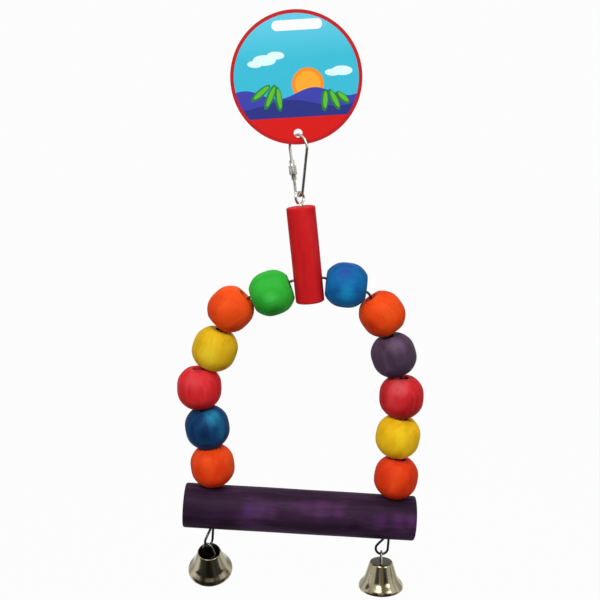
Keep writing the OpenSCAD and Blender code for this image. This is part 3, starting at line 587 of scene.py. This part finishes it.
def nickel_plate():
    """Nickel over drawn brass: warm metal, streaks by angle round the bell as noise stretched along its
    height. The crown, where v is below 0.05, is painted near black: a painted dark reflection."""
    finish, tree, shader = finish_named("nickel_plated_bell")
    place = add(tree, "ShaderNodeUVMap", {"uv_map": "round_and_up"})
    drawn = add(tree, "ShaderNodeMapping", Vector=place, Scale=(14, 0.7, 1))
    streaks = add(tree, "ShaderNodeTexNoise", Vector=drawn, Scale=1.0, Detail=5.0, Roughness=0.55)
    patches = add(tree, "ShaderNodeMapping", Vector=place, Scale=(6, 5, 1))
    cloud = add(tree, "ShaderNodeTexNoise", Vector=patches, Scale=1.0, Detail=4.0)
    ramp = add(tree, "ShaderNodeValToRGB", Fac=streaks).node
    for stop, position, tint in zip(ramp.color_ramp.elements, (0.38, 0.62), ("#5E553E", "#B9B096")):
        stop.position = position
        stop.color = linear(tint)
    down = add(tree, "ShaderNodeSeparateXYZ", Vector=place).node.outputs[1]
    # Painted reflection: the flat crown is painted near black for the dark that it reflects.
    painted_crown_reflection = add(tree, "ShaderNodeMapRange", Value=down, From_Min=0.055, From_Max=0.035)
    tree.links.new(mixed(tree, ramp.outputs[0], linear("#3C392D"), painted_crown_reflection), shader["Base Color"])
    gloss = add(tree, "ShaderNodeMapRange", Value=cloud, From_Min=0.3, From_Max=0.7, To_Min=0.13, To_Max=0.24)
    tree.links.new(gloss, shader["Roughness"])
    ridges = add(tree, "ShaderNodeBump", Strength=0.06, Distance=0.05 * MM, Height=streaks)
    tree.links.new(ridges, shader["Normal"])
    shader["Metallic"].default_value = 1.0
    return finish


def unrolled(piece, columns):
    """UV map of a turned piece: u is the share round it and v the share of its profile, by vertex number."""
    mesh = piece.data
    corner = np.empty(len(mesh.loops), int)
    mesh.loops.foreach_get("vertex_index", corner)
    around, row = corner % columns, corner // columns
    row = np.where(corner == len(mesh.vertices) - 2, 0, row)
    start = np.repeat([p.loop_start for p in mesh.polygons], [p.loop_total for p in mesh.polygons])
    around = np.where((around == 0) & (np.maximum.reduceat(around, np.unique(start))[
        np.searchsorted(np.unique(start), start)] == columns - 1), columns, around)
    layer = mesh.uv_layers.new(name="round_and_up")
    layer.data.foreach_set("uv", np.stack([around / columns, row / row.max()], 1).ravel())


nickel = nickel_plate()
steel = plated_steel("bare_hanger_steel", "#9A958C", "#524D47", 0.26, 2.0)
HANGER = {"wire_r": 0.5, "leg": 4.4, "bow_r": 2.4, "bow_drop": 0.65, "bend_r": 0.9, "foot": 1.0, "rise": 0.3,
          "bar_drop": 7.3}
CLAPPER = {"wire_r": 0.4, "eye_r": 1.2, "length": 9.2, "ball_r": 2.3, "neck": 2.6}
for side in ("left", "right"):
    pivot = hinge(side + "_bell_swing")[0]
    lean, yaw = radians(BELL_TILT[side]), radians(LOOP_TURN[side])
    leant = np.array([[1, 0, 0], [0, np.cos(lean), -np.sin(lean)], [0, np.sin(lean), np.cos(lean)]])
    bell_up = leant @ UP
    bell_across = leant @ np.array([-np.sin(yaw), np.cos(yaw), 0])
    outer = BELL_OUTLINE * [BELL["radius"], -BELL["height"]]
    slope = np.gradient(outer, axis=0)
    slope /= np.linalg.norm(slope, axis=1)[:, None]
    inner = (outer + BELL["wall"] * np.stack([slope[:, 1], -slope[:, 0]], 1))[1:-3]
    inner[:2, 1] = -BELL["wall"]
    profile = np.concatenate([outer[1:], inner[::-1]])
    profile[:, 0] = np.maximum(profile[:, 0], 0.3)
    shell = skin(side + "_bell_shell", turned(profile, pivot - bell_up * BELL["drop"], bell_up,
                                              BELL["columns"]),
                 nickel, side + "_bell", side + "_bell", sharp=60)
    unrolled(shell, BELL["columns"])

    # The hanger is a steel wire through two holes in the crown: a bow over the loop, one foot turned out
    # under the crown, and the other leg run across as a bar that carries the clapper.
    leg, bow_r, bend_r = HANGER["leg"], HANGER["bow_r"], HANGER["bend_r"]
    shoulder = BELL["drop"] - HANGER["rise"]
    away = np.hypot(leg, shoulder - HANGER["bow_drop"])
    slope_deg = np.degrees(np.arctan2(leg, shoulder - HANGER["bow_drop"]) - np.arcsin(bow_r / away))
    small = bend_r * np.tan(radians(slope_deg) / 2)
    rise = np.sqrt(away ** 2 - bow_r ** 2) - small
    bar_end = leg - 2 * HANGER["wire_r"] - 0.3
    foot_level = BELL["drop"] + BELL["wall"] + bend_r
    path = laid_path((bar_end, -HANGER["bar_drop"]), 180,
                     [(bar_end + leg - bend_r, -90, bend_r),
                      (HANGER["bar_drop"] - shoulder - bend_r - small, -slope_deg, bend_r),
                      (rise, 2 * slope_deg - 180, bow_r), (rise, -slope_deg, bend_r),
                      (foot_level - shoulder - bend_r - small, 90, bend_r),
                      (HANGER["foot"] - bend_r, 0, 0)], spacing=0.12)
    skin(side + "_hanger_wire", round_wire(path, HANGER["wire_r"], pivot, bell_across, bell_up, columns=20),
         steel, side + "_bell", side + "_bell_hanger")

    # The clapper is a wire with an eye round the bar and a cast ball at its foot.
    bar, bar_way = hinge(side + "_clapper_swing")
    plumb = np.arctan(np.tan(lean) * np.sin(yaw))
    swing = np.cross(bar_way, bell_up)
    down = -(np.cos(plumb) * bell_up + np.sin(plumb) * swing)
    turn = np.linspace(0, 2 * pi, 40, endpoint=False)
    flat = np.stack([CLAPPER["eye_r"] * np.sin(turn), -CLAPPER["eye_r"] * np.cos(turn)], 1)
    eye = round_wire((flat, turn), CLAPPER["wire_r"], bar, np.cross(down, bar_way), down, columns=16)[3:-3]
    skin(side + "_clapper_eye", eye, steel, side + "_clapper", None, "looped")
    ball = np.linspace(0.03, pi - 0.12, 28)
    heights = -CLAPPER["length"] - CLAPPER["ball_r"] * np.cos(ball)
    drop = np.stack([CLAPPER["ball_r"] * np.sin(ball), heights], 1)
    hung = np.linspace(CLAPPER["length"] - CLAPPER["neck"], CLAPPER["eye_r"], 8)
    stem = np.stack([np.full(len(hung), CLAPPER["wire_r"]), -hung], 1)
    skin(side + "_clapper_drop", turned(np.concatenate([drop, stem]), bar, -down, columns=40), steel,
         side + "_clapper", side + "_clapper", sharp=60)

# The stage: a pale floor well below the hanging swing, soft light from the front and above with a weaker lamp
# behind, and the camera where the photographer stood, about level with the card and pitched down.
# The paper and the air show white to the eye and in metal, and the air throws a third of that on the swing.
FLOOR = {"reach": 6.0, "level": -0.62, "glow": 0.97, "dark": 0.06, "dark_from": 0.02, "dark_to": -0.12}
AIR = {"white": 0.978, "dark": 0.1, "thrown": 0.34}


def light_path(tree):
    """The tree's kinds of ray, and 1 on those from the camera, off metal or through clear stock."""
    rays = add(tree, "ShaderNodeLightPath").node.outputs
    shown = rays["Is Camera Ray"]
    for kind in ("Is Glossy Ray", "Is Transmission Ray"):
        shown = add(tree, "ShaderNodeMath", {"operation": "MAXIMUM"}, _0=shown, _1=rays[kind])
    return rays, shown


floor_mesh = bpy.data.meshes.new("studio_floor")
floor_mesh.from_pydata([(x * FLOOR["reach"], y * FLOOR["reach"], FLOOR["level"])
                        for x, y in ((-1, -1), (1, -1), (1, 1), (-1, 1))], [], [(0, 1, 2, 3)])
floor = bpy.data.objects.new("studio_floor", floor_mesh)
bpy.context.scene.collection.objects.link(floor)
paper, tree, shader = finish_named("white_studio_paper")
shader["Base Color"].default_value = linear("#A0A0A0")
shader["Roughness"].default_value = 0.9
rays, shown = light_path(tree)
# Toward the photographer the paper ends, and metal shows the dark floor there.
place = add(tree, "ShaderNodeTexCoord").node.outputs["Object"]
toward = add(tree, "ShaderNodeSeparateXYZ", Vector=place).node.outputs["Y"]
near = add(tree, "ShaderNodeMapRange", {"interpolation_type": "SMOOTHSTEP"}, Value=toward,
           From_Min=FLOOR["dark_from"], From_Max=FLOOR["dark_to"])
near = add(tree, "ShaderNodeMath", {"operation": "MULTIPLY"}, _0=near, _1=rays["Is Glossy Ray"])
strength = add(tree, "ShaderNodeMapRange", Value=near, To_Min=1.0, To_Max=FLOOR["dark"])
glow = add(tree, "ShaderNodeEmission", Color=(1, 1, 1, 1), Strength=strength)
share = add(tree, "ShaderNodeMath", {"operation": "MULTIPLY"}, _0=shown, _1=FLOOR["glow"])
blend = add(tree, "ShaderNodeMixShader", _0=share, _1=tree.nodes["Principled BSDF"].outputs[0], _2=glow)
tree.links.new(blend, tree.nodes["Material Output"].inputs["Surface"])
floor_mesh.materials.append(paper)

world = bpy.data.worlds.new("studio_air")
world.use_nodes = True
bpy.context.scene.world = world
tree = world.node_tree
rays, shown = light_path(tree)
# The air is white all round, but two dark sides of the room stand beside the photographer and show in metal.
air = add(tree, "ShaderNodeTexCoord").node.outputs["Generated"]
x, y, z = add(tree, "ShaderNodeSeparateXYZ", Vector=air).node.outputs
wide = add(tree, "ShaderNodeMath", {"operation": "ABSOLUTE"}, _0=x)
room = add(tree, "ShaderNodeMath", {"operation": "SUBTRACT"}, _0=1.0, _1=rays["Is Camera Ray"])
for value, low, high in ((wide, 0.2, 0.34), (wide, 0.82, 0.68), (z, 0.5, 0.3), (y, -0.1, -0.35)):
    side = add(tree, "ShaderNodeMapRange", {"interpolation_type": "SMOOTHSTEP"}, Value=value, From_Min=low,
               From_Max=high)
    room = add(tree, "ShaderNodeMath", {"operation": "MULTIPLY"}, _0=room, _1=side)
bright = add(tree, "ShaderNodeMapRange", Value=room, To_Min=AIR["white"], To_Max=AIR["dark"])
strength = add(tree, "ShaderNodeMapRange", Value=shown, To_Min=AIR["thrown"], To_Max=bright)
tree.links.new(strength, tree.nodes["Background"].inputs["Strength"])
tree.nodes["Background"].inputs["Color"].default_value = (1, 1, 1, 1)

# The lamps: place, the point that each is turned to and the side of its square, in metres, and its watts.
for name, place, aim, size, power in (
        ("soft_key", (-0.25, -0.9, 0.62), (0, 0, -0.18), 0.5, 10.8),
        ("soft_top", (0.1, -0.15, 0.85), (0, 0, -0.16), 0.7, 2.2),
        ("soft_fill", (0.75, -0.8, 0.3), (0, 0, -0.18), 0.5, 2.6),
        ("soft_back", (0.3, 0.95, 0.4), (0, 0, -0.18), 0.6, 4.5)):
    lamp = bpy.data.lights.new(name, "AREA")
    lamp.shape, lamp.size, lamp.energy = "SQUARE", size, power
    holder = bpy.data.objects.new(name, lamp)
    toward = Vector(place) - Vector(aim)
    holder.location, holder.rotation_euler = place, toward.to_track_quat("Z", "Y").to_euler()
    bpy.context.scene.collection.objects.link(holder)
    # The lamp behind lifts the far side of the wood, and metal doesn't mirror it.
    holder.visible_glossy = name != "soft_back"

# Where the camera stands, in metres, its pitch down in degrees, and its lens and film in mm.
STAND = {"place": (0.00183, -0.542, -0.03961), "pitch": 11.5, "lens": 60.0, "film": 36.0}
view = bpy.data.cameras.new("photographer")
view.lens, view.sensor_width, view.clip_start, view.clip_end = STAND["lens"], STAND["film"], 0.01, 50.0
camera = bpy.data.objects.new("photographer", view)
camera.location, camera.rotation_euler = STAND["place"], (radians(90 - STAND["pitch"]), 0, 0)
bpy.context.scene.collection.objects.link(camera)
bpy.context.scene.camera = camera
bpy.context.scene.view_settings.view_transform = "Standard"

bpy.context.view_layer.update()
